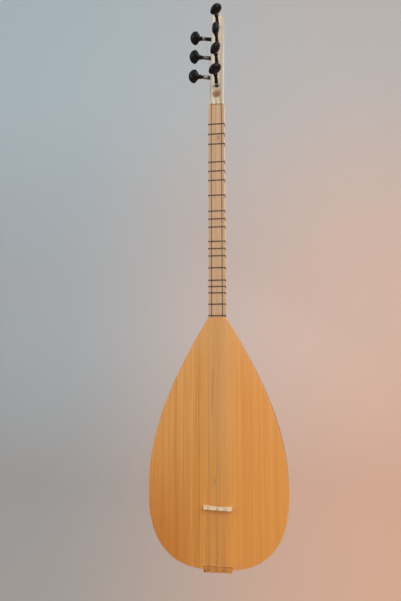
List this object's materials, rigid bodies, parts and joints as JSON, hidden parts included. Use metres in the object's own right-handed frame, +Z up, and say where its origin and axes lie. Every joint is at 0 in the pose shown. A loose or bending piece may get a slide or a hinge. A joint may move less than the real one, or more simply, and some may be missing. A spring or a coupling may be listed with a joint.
{
  "type": "short-neck baglama",
  "caption": "Short-neck baglama: bowl-backed lute with spruce top, tied movable frets, floating bridge and friction pegs, hung by its headstock.",
  "frame": {"origin": "on the flat back of the headstock, between the second and third front pegs, where the instrument hangs", "axes": "+Z up along the neck towards the head, -Y out of the soundboard, +X to the right of a viewer who faces the soundboard"},
  "size_m": [0.2256, 0.1662, 1.0066],
  "materials": {
    "spruce": "thin satin varnish over honey-coloured straight-grained spruce",
    "bowl_wood": "satin varnish over dark brown staves",
    "neck_wood": "satin light tan hardwood",
    "fingerboard_wood": "satin light tan hardwood",
    "pale_maple": "satin pale maple",
    "nut_maple": "polished cream maple",
    "bridge_maple": "plain cream maple",
    "honey_wood": "satin honey-coloured wood",
    "inner_wood": "unfinished light wood",
    "dark_strip": "dark brown inlaid strip",
    "black_peg": "gloss black lacquer over turned wood",
    "string_steel": "plain and wound steel wire",
    "fret_nylon": "dark brown nylon line"
  },
  "bodies": {
    "instrument": {"soundboard": "spruce", "bowl_stave_1": "bowl_wood", "bowl_stave_2": "bowl_wood", "bowl_stave_3": "bowl_wood", "bowl_stave_4": "bowl_wood", "bowl_stave_5": "bowl_wood", "bowl_stave_6": "bowl_wood", "bowl_stave_7": "bowl_wood", "neck_block": "inner_wood", "tail_block": "inner_wood", "upper_brace": "inner_wood", "lower_brace": "inner_wood", "tailpiece": "honey_wood", "neck": "neck_wood", "fingerboard": "fingerboard_wood", "purfling_left": "dark_strip", "purfling_right": "dark_strip", "headstock": "pale_maple", "nut": "nut_maple", "bass_string_1": "string_steel", "bass_string_2": "string_steel", "middle_string_1": "string_steel", "middle_string_2": "string_steel", "treble_string_1": "string_steel", "treble_string_2": "string_steel", "treble_string_3": "string_steel"},
    "front_peg_1": {"front_peg_1": "black_peg", "middle_string_2_winding": "string_steel"},
    "front_peg_2": {"front_peg_2": "black_peg", "treble_string_1_winding": "string_steel"},
    "front_peg_3": {"front_peg_3": "black_peg", "treble_string_2_winding": "string_steel"},
    "front_peg_4": {"front_peg_4": "black_peg", "treble_string_3_winding": "string_steel"},
    "side_peg_1": {"side_peg_1": "black_peg", "bass_string_1_winding": "string_steel"},
    "side_peg_2": {"side_peg_2": "black_peg", "bass_string_2_winding": "string_steel"},
    "side_peg_3": {"side_peg_3": "black_peg", "middle_string_1_winding": "string_steel"},
    "fret_01": {"fret_01": "fret_nylon"},
    "fret_02": {"fret_02": "fret_nylon"},
    "fret_03": {"fret_03": "fret_nylon"},
    "fret_04": {"fret_04": "fret_nylon"},
    "fret_05": {"fret_05": "fret_nylon"},
    "fret_06": {"fret_06": "fret_nylon"},
    "fret_07": {"fret_07": "fret_nylon"},
    "fret_08": {"fret_08": "fret_nylon"},
    "fret_09": {"fret_09": "fret_nylon"},
    "fret_10": {"fret_10": "fret_nylon"},
    "fret_11": {"fret_11": "fret_nylon"},
    "fret_12": {"fret_12": "fret_nylon"},
    "fret_13": {"fret_13": "fret_nylon"},
    "fret_14": {"fret_14": "fret_nylon"},
    "fret_15": {"fret_15": "fret_nylon"},
    "fret_16": {"fret_16": "fret_nylon"},
    "fret_17": {"fret_17": "fret_nylon"},
    "fret_18": {"fret_18": "fret_nylon"},
    "fret_19": {"fret_19": "fret_nylon"},
    "bridge": {"bridge": "bridge_maple"}
  },
  "joints": [
    {"name": "front_peg_1_turn", "type": "hinge", "parent": "instrument", "child": "front_peg_1", "pos_m": [0.0005, -0.03019, -0.06758], "axis": [0, -0.9848, 0.1736], "continuous": true},
    {"name": "front_peg_2_turn", "type": "hinge", "parent": "instrument", "child": "front_peg_2", "pos_m": [0.0005, -0.02181, -0.02001], "axis": [0, -0.9848, 0.1736], "continuous": true},
    {"name": "front_peg_3_turn", "type": "hinge", "parent": "instrument", "child": "front_peg_3", "pos_m": [0.0005, -0.01342, 0.02756], "axis": [0, -0.9848, 0.1736], "continuous": true},
    {"name": "front_peg_4_turn", "type": "hinge", "parent": "instrument", "child": "front_peg_4", "pos_m": [0.0005, -0.00503, 0.07514], "axis": [0, -0.9848, 0.1736], "continuous": true},
    {"name": "side_peg_1_turn", "type": "hinge", "parent": "instrument", "child": "side_peg_1", "pos_m": [-0.01201, -0.01691, -0.04118], "axis": [-0.9781, 0.0361, 0.2048], "continuous": true},
    {"name": "side_peg_2_turn", "type": "hinge", "parent": "instrument", "child": "side_peg_2", "pos_m": [-0.01188, -0.00852, 0.00639], "axis": [-0.9781, 0.0361, 0.2048], "continuous": true},
    {"name": "side_peg_3_turn", "type": "hinge", "parent": "instrument", "child": "side_peg_3", "pos_m": [-0.01175, -0.00013, 0.05396], "axis": [-0.9781, 0.0361, 0.2048], "continuous": true},
    {"name": "fret_01_slide", "type": "slide", "parent": "instrument", "child": "fret_01", "axis": [0, 0, 1], "range_m": [-0.008, 0.008]},
    {"name": "fret_02_slide", "type": "slide", "parent": "instrument", "child": "fret_02", "axis": [0, 0, 1], "range_m": [-0.008, 0.008]},
    {"name": "fret_03_slide", "type": "slide", "parent": "instrument", "child": "fret_03", "axis": [0, 0, 1], "range_m": [-0.008, 0.008]},
    {"name": "fret_04_slide", "type": "slide", "parent": "instrument", "child": "fret_04", "axis": [0, 0, 1], "range_m": [-0.0069, 0.008]},
    {"name": "fret_05_slide", "type": "slide", "parent": "instrument", "child": "fret_05", "axis": [0, 0, 1], "range_m": [-0.0069, 0.0069]},
    {"name": "fret_06_slide", "type": "slide", "parent": "instrument", "child": "fret_06", "axis": [0, 0, 1], "range_m": [-0.008, 0.0069]},
    {"name": "fret_07_slide", "type": "slide", "parent": "instrument", "child": "fret_07", "axis": [0, 0, 1], "range_m": [-0.008, 0.008]},
    {"name": "fret_08_slide", "type": "slide", "parent": "instrument", "child": "fret_08", "axis": [0, 0, 1], "range_m": [-0.0056, 0.008]},
    {"name": "fret_09_slide", "type": "slide", "parent": "instrument", "child": "fret_09", "axis": [0, 0, 1], "range_m": [-0.0056, 0.0056]},
    {"name": "fret_10_slide", "type": "slide", "parent": "instrument", "child": "fret_10", "axis": [0, 0, 1], "range_m": [-0.008, 0.0056]},
    {"name": "fret_11_slide", "type": "slide", "parent": "instrument", "child": "fret_11", "axis": [0, 0, 1], "range_m": [-0.0048, 0.008]},
    {"name": "fret_12_slide", "type": "slide", "parent": "instrument", "child": "fret_12", "axis": [0, 0, 1], "range_m": [-0.0048, 0.0048]},
    {"name": "fret_13_slide", "type": "slide", "parent": "instrument", "child": "fret_13", "axis": [0, 0, 1], "range_m": [-0.008, 0.0048]},
    {"name": "fret_14_slide", "type": "slide", "parent": "instrument", "child": "fret_14", "axis": [0, 0, 1], "range_m": [-0.008, 0.008]},
    {"name": "fret_15_slide", "type": "slide", "parent": "instrument", "child": "fret_15", "axis": [0, 0, 1], "range_m": [-0.0038, 0.008]},
    {"name": "fret_16_slide", "type": "slide", "parent": "instrument", "child": "fret_16", "axis": [0, 0, 1], "range_m": [-0.0038, 0.0038]},
    {"name": "fret_17_slide", "type": "slide", "parent": "instrument", "child": "fret_17", "axis": [0, 0, 1], "range_m": [-0.008, 0.0038]},
    {"name": "fret_18_slide", "type": "slide", "parent": "instrument", "child": "fret_18", "axis": [0, 0, 1], "range_m": [-0.008, 0.008]},
    {"name": "fret_19_slide", "type": "slide", "parent": "instrument", "child": "fret_19", "axis": [0, 0, 1], "range_m": [-0.0008, 0.008]},
    {"name": "bridge_slide", "type": "slide", "parent": "instrument", "child": "bridge", "axis": [0, 0, 1], "range_m": [-0.0025, 0.005]}
  ]
}
